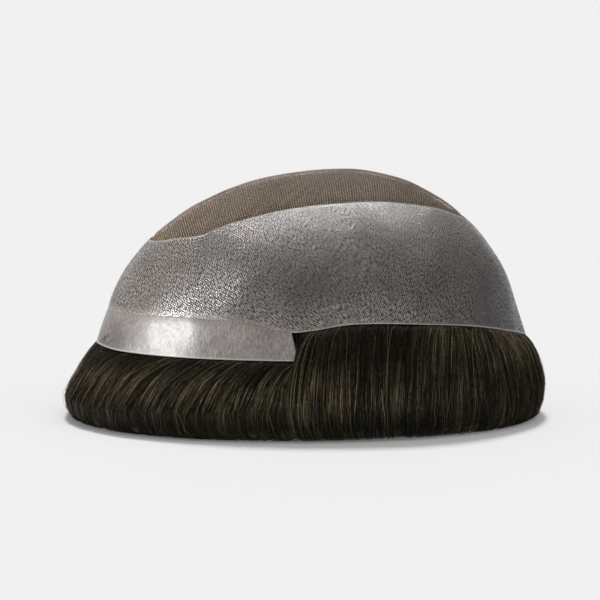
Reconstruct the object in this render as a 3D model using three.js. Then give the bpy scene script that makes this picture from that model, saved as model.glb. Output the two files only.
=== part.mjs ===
// A hair replacement piece laid down inside out, in millimetres, +Z up, its front hairline towards +X.
// Its thin base is a dome: a lace crown, a skin border round it and a clear strip, with no hair, round the nape.
// The hair lines the dome, comes out from under the hem, bulges, and curls under, and the piece rests on it.

import * as THREE from "three";
import { mergeVertices } from "three/addons/utils/BufferGeometryUtils.js";

// The dome. Plan sizes are taken from its upright axis, which stands forward of the middle of the whole.
const TOP_Z = 106.7;
const BACK_REACH = 103.4;
const FRONT_REACH = 78.3;
const HALF_WIDTH = 75;
const WIDEST_Z = 27.4;
const PLAN_POWER = 2.2;
const PROFILE_POWER = 2.06;

// The hem: the clear strip ends level, and the skin's rim rises from the front towards the back.
const STRIP_HEM_Z = 33;
const RIM_FRONT_Z = 35;
const RIM_CREST_Z = 49;
const STRIP_END = 108;
const FLARE = 2.2;
const FLARE_START_Z = 50;

// The lace crown's outline: an oval about the middle of the whole, cut at the back by a round end.
const LACE_HALF_WIDTH = 40.8;
const LACE_FRONT = 69.5;
const LACE_BACK = 96.7;
const LACE_END = 66.9;
const LACE_END_RADIUS = 42;
const LACE_POWER = 2.2;

// Walls, and how the sheets lie over each other. The lace dips to pass under the skin's edge.
const FILM = 1;
const LACE_WALL = 1;
const GAP = 0.3;
const HAIR_GAP = 0.5;
const DIP_RUN = 6;
const DIP_LIP = 0.6;
const TUCK = 5;

// The hair: its thickness under the base, and the roll that it makes below the hem.
const HAIR_THICKNESS = 6;
const JOIN_RISE = 10;
const LOCKS = 60;
const RIDGE = 1.8;
const PART_X = 37;
const BULGE_BACK = 16.1;
const BULGE_FRONT = 8.6;
const BULGE_SIDE = 7;
const BULGE_BACK_Z = 9.5;
const BULGE_FRONT_Z = 14;
const BULGE_POWER = 1.5;
const ROLL_POWER = 2.1;
const FOOT_INSET_END = 5;
const FOOT_INSET_SIDE = 8;
const REST_WIDTH = 22;
const TIP_REACH = 10;
const TIP_SPREAD = 4;
const TIP_LIFT = 1.6;
const TIP_THICKNESS = 3;

// The skin's rim, from RIM_FRONT_Z to RIM_CREST_Z, by the angle from the front. The far side mirrors it.
const RIM = {
  columns: ["degrees", "share"],
  rows: [
    [0, 0],
    [26, 0.35],
    [47, 0.7],
    [65, 0.86],
    [89, 0.92],
    [108, 0.68],
    [121, 0.89],
    [139, 1],
    [180, 0.9],
  ],
};

// The inside of the roll, from the locks' tips up to the hem, as shares of that way in and up.
const INNER_WALL = {
  columns: ["outward", "upward"],
  rows: [
    [0.38, 0.12],
    [0.68, 0.34],
    [0.9, 0.66],
  ],
};

const BASE_COLUMNS = 60;
const LACE_SHARES = [0, 0.28, 0.55, 0.8, 1];
const FILM_DEPTH = FILM + GAP;
const HAIR_DEPTH = FILM + HAIR_GAP;
const INNER_DEPTH = HAIR_DEPTH + HAIR_THICKNESS;

const radians = THREE.MathUtils.degToRad;

// A smooth curve through the rows of a table, read at an angle from the front on either side.
function readRound(rows, degrees) {
  const angle = 180 - Math.abs((((degrees % 360) + 360) % 360) - 180);
  let k = rows.findIndex(([at]) => angle <= at);
  k = Math.max(k, 1);
  const slope = (i) => {
    if (i === 0 || i === rows.length - 1) return 0;
    return (rows[i + 1][1] - rows[i - 1][1]) / (rows[i + 1][0] - rows[i - 1][0]);
  };
  const [from, low] = rows[k - 1];
  const [to, high] = rows[k];
  const span = to - from;
  const t = (angle - from) / span;
  return (
    low * (1 + 2 * t) * (1 - t) ** 2 +
    high * t * t * (3 - 2 * t) +
    slope(k - 1) * span * t * (1 - t) ** 2 -
    slope(k) * span * t * t * (1 - t)
  );
}

const superLength = (a, b, power) => (Math.abs(a) ** power + Math.abs(b) ** power) ** (1 / power);

// How far the dome reaches from its axis at its widest height.
function planReach(degrees) {
  const along = Math.cos(radians(degrees));
  const across = Math.sin(radians(degrees));
  return 1 / superLength(along / (along > 0 ? FRONT_REACH : BACK_REACH), across / HALF_WIDTH, PLAN_POWER);
}

function outAt(degrees, z) {
  const rise = Math.max(0, (z - WIDEST_Z) / (TOP_Z - WIDEST_Z));
  return planReach(degrees) * Math.max(0, 1 - rise ** PROFILE_POWER) ** (1 / PROFILE_POWER);
}

function heightAt(degrees, out) {
  const share = out / planReach(degrees);
  return WIDEST_Z + (TOP_Z - WIDEST_Z) * (1 - share ** PROFILE_POWER) ** (1 / PROFILE_POWER);
}

// The front of the hem turns out a little.
function flareAt(degrees, z) {
  const drop = Math.max(0, (FLARE_START_Z - z) / (FLARE_START_Z - RIM_FRONT_Z));
  return FLARE * Math.max(0, Math.cos(radians(degrees))) ** 2 * drop ** 2;
}

// A point of the dome at a height, a depth below its outer face.
function domePoint(degrees, z, depth) {
  const out = outAt(degrees, z);
  const reach = planReach(degrees);
  const rise = Math.max(0, (z - WIDEST_Z) / (TOP_Z - WIDEST_Z));
  const lean = new THREE.Vector2(
    (out / reach) ** (PROFILE_POWER - 1) / reach,
    rise ** (PROFILE_POWER - 1) / (TOP_Z - WIDEST_Z),
  ).normalize();
  const from = out + flareAt(degrees, z) - depth * lean.x;
  return new THREE.Vector3(
    from * Math.cos(radians(degrees)),
    from * Math.sin(radians(degrees)),
    z - depth * lean.y,
  );
}

// The height reached by going down the dome's face for a short way.
function downFrom(degrees, z, run) {
  const step = 0.01;
  const slope = domePoint(degrees, z, 0).distanceTo(domePoint(degrees, z - step, 0)) / step;
  return z - run / slope;
}

// The furthest distance along a direction that is still inside an outline.
function edgeAlong(inside, most) {
  let near = 0;
  let far = most;
  for (let i = 0; i < 40; i += 1) {
    const middle = (near + far) / 2;
    if (inside(middle)) near = middle;
    else far = middle;
  }
  return near;
}

// The whole reaches from the back of the roll to its front, and its middle is the part's origin.
const ROLL_BACK = outAt(180, STRIP_HEM_Z) + BULGE_BACK;
const ROLL_FRONT = outAt(0, RIM_FRONT_Z) + FLARE + BULGE_FRONT;
const MIDDLE_X = (ROLL_FRONT - ROLL_BACK) / 2;
const ROLL_HALF_LENGTH = (ROLL_FRONT + ROLL_BACK) / 2;
const ROLL_HALF_WIDTH = HALF_WIDTH + BULGE_SIDE;

function insideLace(x, y) {
  const along = x - MIDDLE_X;
  const oval = superLength(along / (along > 0 ? LACE_FRONT : LACE_BACK), y / LACE_HALF_WIDTH, LACE_POWER);
  const fromEnd = Math.hypot(along + LACE_END - LACE_END_RADIUS, y);
  return oval <= 1 && (along > LACE_END_RADIUS - LACE_END || fromEnd <= LACE_END_RADIUS);
}

function laceEdgeZ(degrees) {
  const x = Math.cos(radians(degrees));
  const y = Math.sin(radians(degrees));
  return heightAt(degrees, edgeAlong((out) => insideLace(out * x, out * y), BACK_REACH));
}

function rimZ(degrees) {
  return RIM_FRONT_Z + readRound(RIM.rows, degrees) * (RIM_CREST_Z - RIM_FRONT_Z);
}

const joinZ = (degrees) => rimZ(degrees) + JOIN_RISE;

// The heights at which the lace bends: across the crown, down its dip, and out to the end of its tuck.
function laceHeights(degrees) {
  const edge = laceEdgeZ(degrees);
  const crest = outAt(degrees, downFrom(degrees, edge, -DIP_RUN));
  return [
    ...LACE_SHARES.map((share) => heightAt(degrees, share * crest)),
    downFrom(degrees, edge, -DIP_LIP),
    downFrom(degrees, edge, TUCK),
  ];
}

function laceDepth(index) {
  return index < LACE_SHARES.length ? 0 : FILM_DEPTH;
}

// The heights of the skin below the lace's tuck, down to where the roll starts behind it.
function skinHeights(degrees) {
  const top = downFrom(degrees, laceEdgeZ(degrees), TUCK);
  return [0, 1 / 3, 2 / 3, 1].map((share) => THREE.MathUtils.lerp(top, joinZ(degrees), share));
}

// A section of a sheet: its outer face down the dome, then its inner face back up.
function sheetSection(degrees, heights, outerDepths, wall) {
  const outer = heights.map((z, i) => domePoint(degrees, z, outerDepths[i]));
  const inner = heights.map((z, i) => domePoint(degrees, z, outerDepths[i] + wall));
  return [...outer, ...inner.reverse()];
}

function laceSection(degrees) {
  const heights = laceHeights(degrees);
  return sheetSection(degrees, heights, heights.map((_, i) => laceDepth(i)), LACE_WALL);
}

function skinSection(degrees) {
  const heights = [laceEdgeZ(degrees), ...skinHeights(degrees), rimZ(degrees)];
  return sheetSection(degrees, heights, heights.map(() => 0), FILM);
}

function stripSection(degrees) {
  const top = rimZ(degrees) - GAP;
  const heights = [top, (top + STRIP_HEM_Z) / 2, STRIP_HEM_Z];
  return sheetSection(degrees, heights, heights.map(() => 0), FILM);
}

// The hair under the base follows the lace, rises to lie against the skin, and stops short of the roll.
function crownHairSection(degrees) {
  const lace = laceHeights(degrees);
  const skin = skinHeights(degrees);
  const tuckEnd = lace[lace.length - 1];
  const underLace = lace.map((z, i) => domePoint(degrees, z, laceDepth(i) + LACE_WALL + GAP));
  const pastTuck = domePoint(degrees, downFrom(degrees, tuckEnd, GAP), FILM_DEPTH + LACE_WALL + GAP);
  const risen = downFrom(degrees, tuckEnd, LACE_WALL + HAIR_GAP);
  const end = joinZ(degrees) + GAP;
  const underSkin = [risen, skin[1], skin[2], end].map((z) => domePoint(degrees, z, HAIR_DEPTH));
  const inside = [end, skin[1], tuckEnd, lace[3], lace[1], lace[0]];
  return [
    ...underLace,
    pastTuck,
    ...underSkin,
    ...inside.map((z) => domePoint(degrees, z, INNER_DEPTH)),
  ];
}

const stepsOf = (count) => Array.from({ length: count }, (_, i) => (i + 1) / count);

// One on a lock's ridge, none in the valley beside it.
const ridgeShare = (degrees) => (1 + Math.cos(radians(degrees) * LOCKS)) / 2;

// Some locks reach further in than their neighbours, alike on both sides.
const tipShare = (degrees) => ridgeShare(degrees) * (0.6 + 0.4 * Math.cos(radians(degrees) * LOCKS * 0.15));

function hemZ(degrees) {
  const fromFront = Math.abs(180 - Math.abs(degrees - 180));
  return fromFront >= STRIP_END ? STRIP_HEM_Z : rimZ(degrees);
}

// A section of the roll, leaving the hem along the hair's own fall, away from where it parts.
function rollSection(degrees) {
  const hem = hemZ(degrees);
  const join = joinZ(degrees);
  const root = domePoint(degrees, hem - GAP, GAP);
  const partX = PART_X + MIDDLE_X;
  const away = new THREE.Vector3(root.x - partX, root.y, 0).normalize();
  const inRoll = (out) =>
    superLength(
      (root.x + out * away.x - MIDDLE_X) / ROLL_HALF_LENGTH,
      (root.y + out * away.y) / ROLL_HALF_WIDTH,
      ROLL_POWER,
    ) <= 1;
  const front = (1 + Math.cos(radians(degrees))) / 2;
  const bulgeZ = THREE.MathUtils.lerp(BULGE_BACK_Z, BULGE_FRONT_Z, front);
  const bulge = edgeAlong(inRoll, ROLL_HALF_LENGTH) - RIDGE * (1 - ridgeShare(degrees));
  const inset = THREE.MathUtils.lerp(FOOT_INSET_END, FOOT_INSET_SIDE, Math.sin(radians(degrees)) ** 2);
  const at = (out, z) => root.clone().addScaledVector(away, out).setZ(z);

  const behindHem = [join, (join + hem) / 2, hem - GAP].map((z) => domePoint(degrees, z, HAIR_DEPTH));
  const shoulder = stepsOf(4).map((share) => {
    const turn = (share * Math.PI) / 2;
    return at(
      bulge * Math.sin(turn) ** (2 / BULGE_POWER),
      bulgeZ + (root.z - bulgeZ) * Math.max(0, Math.cos(turn)) ** (2 / BULGE_POWER),
    );
  });
  const foot = stepsOf(3).map((share) => {
    const turn = (share * Math.PI) / 2;
    return at(bulge - inset * (1 - Math.cos(turn)), bulgeZ * (1 - Math.sin(turn)));
  });
  const restEnd = bulge - inset - REST_WIDTH;
  const tipOut = restEnd - TIP_REACH - TIP_SPREAD * tipShare(degrees);
  const tipTop = at(tipOut, TIP_LIFT + TIP_THICKNESS);
  const wallFoot = domePoint(degrees, hem, INNER_DEPTH);
  const inside = INNER_WALL.rows.map(([outward, upward]) =>
    tipTop.clone().lerp(wallFoot, outward).setZ(THREE.MathUtils.lerp(tipTop.z, wallFoot.z, upward)),
  );
  return [
    ...behindHem,
    root,
    ...shoulder,
    ...foot,
    at(restEnd, 0),
    at(tipOut, TIP_LIFT),
    tipTop,
    ...inside,
    wallFoot,
    domePoint(degrees, join, INNER_DEPTH),
  ];
}

// The volume inside a closed surface, below zero where its faces point in.
function signedVolume(points, triangles) {
  return triangles.reduce((sum, [a, b, c]) => {
    const normal = new THREE.Vector3().crossVectors(points[b], points[c]);
    return sum + points[a].dot(normal) / 6;
  }, 0);
}

// Joins sections, each a loop of points, into one closed body: right round, or with a cap on each end.
function sweep(sections, rightRound) {
  const rows = sections[0].length;
  const points = sections.flat();
  const triangles = [];
  const quad = (a, b, c, d) => {
    const splitAC = points[a].distanceTo(points[c]) <= points[b].distanceTo(points[d]);
    triangles.push(...(splitAC ? [[a, b, c], [a, c, d]] : [[a, b, d], [b, c, d]]));
  };
  const last = rightRound ? sections.length : sections.length - 1;
  for (let i = 0; i < last; i += 1) {
    const here = i * rows;
    const next = ((i + 1) % sections.length) * rows;
    for (let j = 0; j < rows; j += 1) {
      const k = (j + 1) % rows;
      quad(here + j, next + j, next + k, here + k);
    }
  }
  if (!rightRound) {
    const end = last * rows;
    for (let j = 0; j < rows / 2 - 1; j += 1) {
      quad(j, j + 1, rows - 2 - j, rows - 1 - j);
      quad(end + rows - 1 - j, end + rows - 2 - j, end + j + 1, end + j);
    }
  }
  if (signedVolume(points, triangles) < 0) triangles.forEach((triangle) => triangle.reverse());
  const loose = new THREE.BufferGeometry().setFromPoints(points).setIndex(triangles.flat());
  return withoutSlivers(mergeVertices(loose, 1e-4));
}

// Where sections meet in one point, such as the dome's top, their collapsed faces go.
function withoutSlivers(geometry) {
  const corners = Array.from(geometry.index.array);
  const kept = [];
  for (let i = 0; i < corners.length; i += 3) {
    const [a, b, c] = corners.slice(i, i + 3);
    if (a !== b && b !== c && c !== a) kept.push(a, b, c);
  }
  geometry.setIndex(kept);
  geometry.computeVertexNormals();
  return geometry;
}

const anglesBetween = (from, to, steps) =>
  Array.from({ length: steps + 1 }, (_, i) => from + ((to - from) * i) / steps);

const BASE_ANGLES = anglesBetween(0, 360, BASE_COLUMNS).slice(0, -1);

// The roll's sections: two to a lock, and one close beside each end of the clear strip, where the hem steps.
const STEP_SIDE = 0.5;
const ROLL_ANGLES = [
  ...anglesBetween(0, 360, 2 * LOCKS).slice(0, -1),
  STRIP_END - STEP_SIDE,
  360 - STRIP_END + STEP_SIDE,
].sort((a, b) => a - b);

const STRIP_COLUMNS = Math.round(((360 - 2 * STRIP_END) * BASE_COLUMNS) / 360);
const STRIP_ANGLES = anglesBetween(STRIP_END, 360 - STRIP_END, STRIP_COLUMNS);

const laceMesh = new THREE.MeshStandardMaterial({ color: 0x84766b, roughness: 0.8, metalness: 0 });
const skinFilm = new THREE.MeshStandardMaterial({ color: 0x655f5b, roughness: 0.3, metalness: 0 });
const clearFilm = new THREE.MeshStandardMaterial({ color: 0xada5a1, roughness: 0.2, metalness: 0 });
const hairFibre = new THREE.MeshStandardMaterial({ color: 0x2a2820, roughness: 0.5, metalness: 0 });

function piece(name, angles, section, material, rightRound = true) {
  const mesh = new THREE.Mesh(sweep(angles.map(section), rightRound), material);
  mesh.name = name;
  return mesh;
}

const hairpiece = new THREE.Group();
hairpiece.add(
  piece("lace_crown", BASE_ANGLES, laceSection, laceMesh),
  piece("skin_border", BASE_ANGLES, skinSection, skinFilm),
  piece("clear_strip", STRIP_ANGLES, stripSection, clearFilm, false),
  piece("crown_hair", BASE_ANGLES, crownHairSection, hairFibre),
  piece("hair_roll", ROLL_ANGLES, rollSection, hairFibre),
);
hairpiece.position.x = -MIDDLE_X;

export default hairpiece;
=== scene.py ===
"""The looks of a hair replacement piece that lies inside out on its own curled hair. Lengths are in mm."""

import math

import bpy
import numpy as np
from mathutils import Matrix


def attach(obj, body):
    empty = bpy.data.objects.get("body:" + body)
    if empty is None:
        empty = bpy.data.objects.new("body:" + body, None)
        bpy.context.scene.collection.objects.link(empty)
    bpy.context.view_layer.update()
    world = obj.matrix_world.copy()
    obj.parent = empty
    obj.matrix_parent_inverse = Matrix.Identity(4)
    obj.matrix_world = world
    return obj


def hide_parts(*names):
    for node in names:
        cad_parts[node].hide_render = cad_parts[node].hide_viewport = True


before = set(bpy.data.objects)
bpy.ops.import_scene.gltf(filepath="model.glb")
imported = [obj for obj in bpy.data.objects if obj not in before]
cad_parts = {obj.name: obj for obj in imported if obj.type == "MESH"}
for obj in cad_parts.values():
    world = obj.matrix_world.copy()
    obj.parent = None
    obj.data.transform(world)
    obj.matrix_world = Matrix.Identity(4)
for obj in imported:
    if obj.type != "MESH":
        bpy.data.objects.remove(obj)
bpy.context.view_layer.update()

# The dome, as the solids have it. Plan sizes are taken from its upright axis.
TOP_Z = 106.7
BACK_REACH = 103.4
FRONT_REACH = 78.3
HALF_WIDTH = 75.0
WIDEST_Z = 27.4
PLAN_POWER = 2.2
PROFILE_POWER = 2.06
STRIP_HEM_Z = 33.0
RIM_FRONT_Z = 35.0
RIM_CREST_Z = 49.0
STRIP_END = math.radians(109.2)
STRIP_HEM_END = math.radians(106.2)
FLARE = 2.2
FLARE_START_Z = 50.0
BACK_FLARE = 1.6
RIM_DEGREES = np.array([0, 26, 47, 65, 89, 109.2, 121, 139, 180], float)
RIM_SHARES = np.array([0, 0.35, 0.7, 0.86, 0.92, 0.68, 0.89, 1, 0.9])
DOME_RISE = TOP_Z - WIDEST_Z

# The lace's outline, and how it dips under the skin's edge.
LACE_HALF_WIDTH = 40.8
LACE_FRONT = 69.5
LACE_BACK = 96.7
LACE_END = 66.9
LACE_END_RADIUS = 42.0
LACE_POWER = 2.2
DIP_RUN = 4.0
DIP_LIP = 0.6
TUCK = 5.0
TUCK_DEPTH = 0.55

# The roll of hair below the hem.
HAIR_DEPTH = 1.5
INNER_DEPTH = 7.5
JOIN_RISE = 10.0
PART_X = 37.0
BULGE_BACK = 16.1
BULGE_FRONT = 8.6
BULGE_SIDE = 7.0
BULGE_BACK_Z = 9.5
BULGE_FRONT_Z = 14.0
BULGE_POWER = 1.5
BACK_BULGE_POWER = 1.18
ROLL_POWER = 2.1
FOOT_INSET_END = 5.0
FOOT_INSET_SIDE = 8.0
REST_WIDTH = 22.0
TIP_REACH = 10.0
TIP_LIFT = 1.6
FLOOR_CLEARANCE = 0.3

TURN = 2 * math.pi


def super_length(a, b, power):
    return (np.abs(a) ** power + np.abs(b) ** power) ** (1 / power)


def smooth_step(low, high, value):
    t = np.clip((value - low) / (high - low), 0, 1)
    return t * t * (3 - 2 * t)


def unit(vectors):
    return vectors / np.maximum(np.linalg.norm(vectors, axis=-1, keepdims=True), 1e-9)


def from_front(angle):
    """How far an angle is from the front, on either side, in radians."""
    return np.abs(np.mod(angle + math.pi, TURN) - math.pi)


def plan_reach(angle):
    along, across = np.cos(angle), np.sin(angle)
    reach = np.where(along > 0, FRONT_REACH, BACK_REACH)
    return 1 / super_length(along / reach, across / HALF_WIDTH, PLAN_POWER)


def out_at(angle, z):
    rise = np.clip((z - WIDEST_Z) / DOME_RISE, 0, 1)
    return plan_reach(angle) * (1 - rise**PROFILE_POWER) ** (1 / PROFILE_POWER)


def height_at(angle, out):
    share = np.clip(out / plan_reach(angle), 0, 1)
    return WIDEST_Z + DOME_RISE * (1 - share**PROFILE_POWER) ** (1 / PROFILE_POWER)


def dome_point(angle, z, depth):
    """A point of the dome, measured from its axis, at a height and a depth below its outer face."""
    out = out_at(angle, z)
    reach = plan_reach(angle)
    rise = np.clip((z - WIDEST_Z) / DOME_RISE, 0, 1)
    outward = (out / reach) ** (PROFILE_POWER - 1) / reach
    upward = rise ** (PROFILE_POWER - 1) / DOME_RISE
    length = np.hypot(outward, upward)
    drop = np.clip((FLARE_START_Z - z) / (FLARE_START_Z - RIM_FRONT_Z), 0, None)
    flare = FLARE * np.clip(np.cos(angle), 0, None) ** 2 * drop**2
    flare = flare + BACK_FLARE * np.clip(-np.cos(angle), 0, None) ** 3 * np.clip(drop, 0, 1.2) ** 2
    reached = out + flare - depth * outward / length
    parts = [reached * np.cos(angle), reached * np.sin(angle), z - depth * upward / length]
    return np.stack(np.broadcast_arrays(*parts), axis=-1)


def down_from(angle, z, run):
    step = 0.01
    moved = dome_point(angle, z, 0) - dome_point(angle, z - step, 0)
    return z - run * step / np.linalg.norm(moved, axis=-1)


def edge_along(inside, like, most):
    near = np.zeros_like(like)
    far = np.full_like(like, most)
    for _ in range(36):
        middle = (near + far) / 2
        within = inside(middle)
        near = np.where(within, middle, near)
        far = np.where(within, far, middle)
    return near


ROLL_BACK = float(out_at(math.pi, STRIP_HEM_Z)) + BULGE_BACK
ROLL_FRONT = float(out_at(0.0, RIM_FRONT_Z)) + FLARE + BULGE_FRONT
MIDDLE_X = (ROLL_FRONT - ROLL_BACK) / 2
ROLL_HALF_LENGTH = (ROLL_FRONT + ROLL_BACK) / 2
ROLL_HALF_WIDTH = HALF_WIDTH + BULGE_SIDE


def lace_share(x, y):
    """One on the lace's outline, less inside it."""
    along = x - MIDDLE_X
    reach = np.where(along > 0, LACE_FRONT, LACE_BACK)
    oval = super_length(along / reach, y / LACE_HALF_WIDTH, LACE_POWER)
    end = np.hypot(along + LACE_END - LACE_END_RADIUS, y) / LACE_END_RADIUS
    return np.where(along > LACE_END_RADIUS - LACE_END, oval, np.maximum(oval, end))


def lace_edge_out(angle):
    x, y = np.cos(angle), np.sin(angle)
    return edge_along(lambda out: lace_share(out * x, out * y) <= 1, angle, BACK_REACH)


def rim_z(angle):
    """The skin's lower rim: a smooth curve through the rim's table."""
    degrees = np.degrees(from_front(angle))
    slopes = np.zeros_like(RIM_SHARES)
    slopes[1:-1] = (RIM_SHARES[2:] - RIM_SHARES[:-2]) / (RIM_DEGREES[2:] - RIM_DEGREES[:-2])
    k = np.clip(np.searchsorted(RIM_DEGREES, degrees), 1, len(RIM_DEGREES) - 1)
    span = RIM_DEGREES[k] - RIM_DEGREES[k - 1]
    t = (degrees - RIM_DEGREES[k - 1]) / span
    share = RIM_SHARES[k - 1] * (1 + 2 * t) * (1 - t) ** 2 + RIM_SHARES[k] * t * t * (3 - 2 * t)
    share = share + slopes[k - 1] * span * t * (1 - t) ** 2 - slopes[k] * span * t * t * (1 - t)
    return RIM_FRONT_Z + share * (RIM_CREST_Z - RIM_FRONT_Z)


def hem_z(angle):
    """The hem: the skin's rim, or the clear strip's own hem where there is a strip."""
    return np.where(from_front(angle) >= STRIP_HEM_END, STRIP_HEM_Z, rim_z(angle))


# Lengths over the dome's face, for patterns with a true size.
PLAN_ANGLES = np.linspace(math.pi, 0, 721)
PLAN_WAYS = np.stack([np.cos(PLAN_ANGLES), np.sin(PLAN_ANGLES)], axis=-1)
PLAN_POINTS = plan_reach(PLAN_ANGLES)[:, None] * PLAN_WAYS
PLAN_RUN = np.concatenate([[0], np.cumsum(np.linalg.norm(np.diff(PLAN_POINTS, axis=0), axis=1))])


def run_round(angle):
    """The way round the dome from its back to an angle, alike on both sides."""
    return np.interp(math.pi - from_front(angle), math.pi - PLAN_ANGLES, PLAN_RUN)


def run_up(angle, z):
    """The way up the dome's face from its widest height."""
    rise = np.clip((z - WIDEST_Z) / DOME_RISE, 0, 0.9999)
    nodes, weights = np.polynomial.legendre.leggauss(16)
    total = 0
    for node, weight in zip(nodes, weights):
        at = rise * (node + 1) / 2
        fall = at ** (PROFILE_POWER - 1) * (1 - at**PROFILE_POWER) ** (1 / PROFILE_POWER - 1)
        total = total + weight * np.hypot(plan_reach(angle) * fall, DOME_RISE)
    return total * rise / 2


def waves(seed, count, shortest, longest):
    """A smooth random height over space, about one at most, from a few plane waves."""
    rng = np.random.default_rng(seed)
    length = rng.uniform(shortest, longest, count)
    direction = unit(rng.normal(size=(count, 3)))
    phase = rng.uniform(0, TURN, count)

    def height(points):
        turns = points @ (direction.T * (TURN / length)) + phase
        return np.sin(turns).sum(axis=-1) / math.sqrt(count) / 1.4

    return height


FILM_WAVES = waves(seed=11, count=9, shortest=16, longest=42)
FILM_WAVE_HEIGHT = 0.3


def base_point(angle, z, depth):
    """A point of the soft base, which isn't as even as the plain dome."""
    face = dome_point(angle, z, 0)
    return dome_point(angle, z, depth - FILM_WAVE_HEIGHT * FILM_WAVES(face))


def even_heights(angle, top, bottom, shares):
    """Heights on the dome at shares of the way down its face between two heights."""
    fine = np.linspace(0, 1, 160)
    z = top[:, None] + (bottom - top)[:, None] * fine
    points = dome_point(angle[:, None], z, 0)
    steps = np.linalg.norm(np.diff(points, axis=1), axis=2)
    run = np.concatenate([np.zeros((len(angle), 1)), np.cumsum(steps, axis=1)], axis=1)
    return np.array([np.interp(shares * run[i, -1], run[i], z[i]) for i in range(len(angle))])


def mesh_object(name, points, faces, uvs=None, floats=None):
    """A smooth mesh from points about the dome's axis and faces that all have as many corners."""
    placed = np.asarray(points, float).reshape(-1, 3) - np.array([MIDDLE_X, 0, 0])
    faces = np.asarray(faces, np.int32)
    mesh = bpy.data.meshes.new(name)
    mesh.vertices.add(len(placed))
    mesh.vertices.foreach_set("co", (placed * 0.001).astype(np.float32).ravel())
    mesh.loops.add(faces.size)
    mesh.loops.foreach_set("vertex_index", faces.ravel())
    mesh.polygons.add(len(faces))
    mesh.polygons.foreach_set("loop_start", np.arange(0, faces.size, faces.shape[1], dtype=np.int32))
    mesh.update(calc_edges=True)
    mesh.shade_smooth()
    for layer, values in (uvs or {}).items():
        flat = np.asarray(values, float).reshape(-1, 2)[faces.ravel()]
        mesh.uv_layers.new(name=layer).data.foreach_set("uv", flat.astype(np.float32).ravel())
    for layer, values in (floats or {}).items():
        flat = np.asarray(values, np.float32).ravel()
        mesh.attributes.new(layer, "FLOAT", "POINT").data.foreach_set("value", flat)
    piece = bpy.data.objects.new(name, mesh)
    bpy.context.scene.collection.objects.link(piece)
    return piece


def loop_faces(columns, rows, right_round):
    """Quads over a grid whose rows close on themselves, and whose columns may."""
    i = np.arange(columns if right_round else columns - 1)[:, None]
    j = np.arange(rows)[None, :]
    here, after = i * rows, ((i + 1) % columns) * rows
    k = (j + 1) % rows
    return np.stack([here + j, after + j, after + k, here + k], axis=-1).reshape(-1, 4)


def end_caps(columns, rows):
    """Quads that close both ends of a sheet whose sections go down one face and up the other."""
    j = np.arange(rows // 2 - 1)
    first = np.stack([j, j + 1, rows - 2 - j, rows - 1 - j], axis=-1)
    last = first[:, ::-1] + (columns - 1) * rows
    return np.concatenate([first, last])


def tubes(paths, radii, across, sides=3):
    """Points and faces of thin tubes. Paths are strands by steps by 3. Across is square to each strand."""
    count, steps, _ = paths.shape
    along = unit(np.gradient(paths, axis=1))
    first = unit(across - along * (across * along).sum(-1, keepdims=True))
    second = np.cross(along, first)
    turn = (np.arange(sides) / sides * TURN)[None, None, :, None]
    ring = paths[:, :, None] + radii[:, :, None, None] * (
        np.cos(turn) * first[:, :, None] + np.sin(turn) * second[:, :, None]
    )
    strand = np.arange(count)[:, None, None] * steps * sides
    step = np.arange(steps - 1)[None, :, None] * sides
    side = np.arange(sides)[None, None, :]
    a = strand + step + side
    b = strand + step + (side + 1) % sides
    faces = np.stack([a, b, b + sides, a + sides], axis=-1).reshape(-1, 4)
    return ring, faces


# Materials.
def new_material(name):
    material = bpy.data.materials.new(name)
    material.use_nodes = True
    tree = material.node_tree
    return material, tree, tree.nodes["Principled BSDF"]


def feed(tree, made, inputs):
    """Links or sets each input of a node."""
    for key, value in inputs.items():
        if isinstance(value, bpy.types.NodeSocket):
            tree.links.new(value, made.inputs[key])
        else:
            made.inputs[key].default_value = value


def node(tree, kind, inputs=None, **settings):
    made = tree.nodes.new(kind)
    for key, value in settings.items():
        setattr(made, key, value)
    feed(tree, made, inputs or {})
    return made


def math_node(tree, operation, a, b=0.0, c=0.0):
    return node(tree, "ShaderNodeMath", {0: a, 1: b, 2: c}, operation=operation).outputs[0]


def stepped(tree, value, low, high, to_low=0.0, to_high=1.0):
    inputs = {"Value": value, "From Min": low, "From Max": high, "To Min": to_low, "To Max": to_high}
    return node(tree, "ShaderNodeMapRange", inputs, interpolation_type="SMOOTHSTEP").outputs[0]


def mixed(tree, share, a, b):
    return node(tree, "ShaderNodeMix", {0: share, 6: a, 7: b}, data_type="RGBA").outputs[2]


def scaled(tree, colour, factor):
    return node(tree, "ShaderNodeVectorMath", {0: colour, "Scale": factor}, operation="SCALE").outputs[0]


def attribute(tree, name):
    return node(tree, "ShaderNodeAttribute", attribute_name=name).outputs["Fac"]


def uv(tree, layer, scale):
    source = node(tree, "ShaderNodeUVMap", uv_map=layer).outputs[0]
    return node(tree, "ShaderNodeVectorMath", {0: source, 1: (*scale, 1)}, operation="MULTIPLY").outputs[0]


def noise(tree, vector, scale, detail=2.0, roughness=0.5):
    inputs = {"Vector": vector, "Scale": scale, "Detail": detail, "Roughness": roughness}
    return node(tree, "ShaderNodeTexNoise", inputs).outputs[0]


def object_place(tree):
    return node(tree, "ShaderNodeTexCoord").outputs["Object"]


# The skin: rows of hair knots in a glossy film. Each layer of rows gives its knots' width and length.
SKIN_FILM = (0.262, 0.225, 0.202, 1)
SKIN_ROOT = (0.014, 0.013, 0.012, 1)
SKIN_EDGE_HIGHLIGHT = (0.42, 0.40, 0.385, 1)
KNOTS = {"lean_back": (1.03, 1.4), "lean_front": (0.92, 1.38)}
KNOT_DRIFT = (0.7, 0.7, 0)
STREAK = (0.55, 1.4)
KNOT_BUMP = 0.000085


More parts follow.
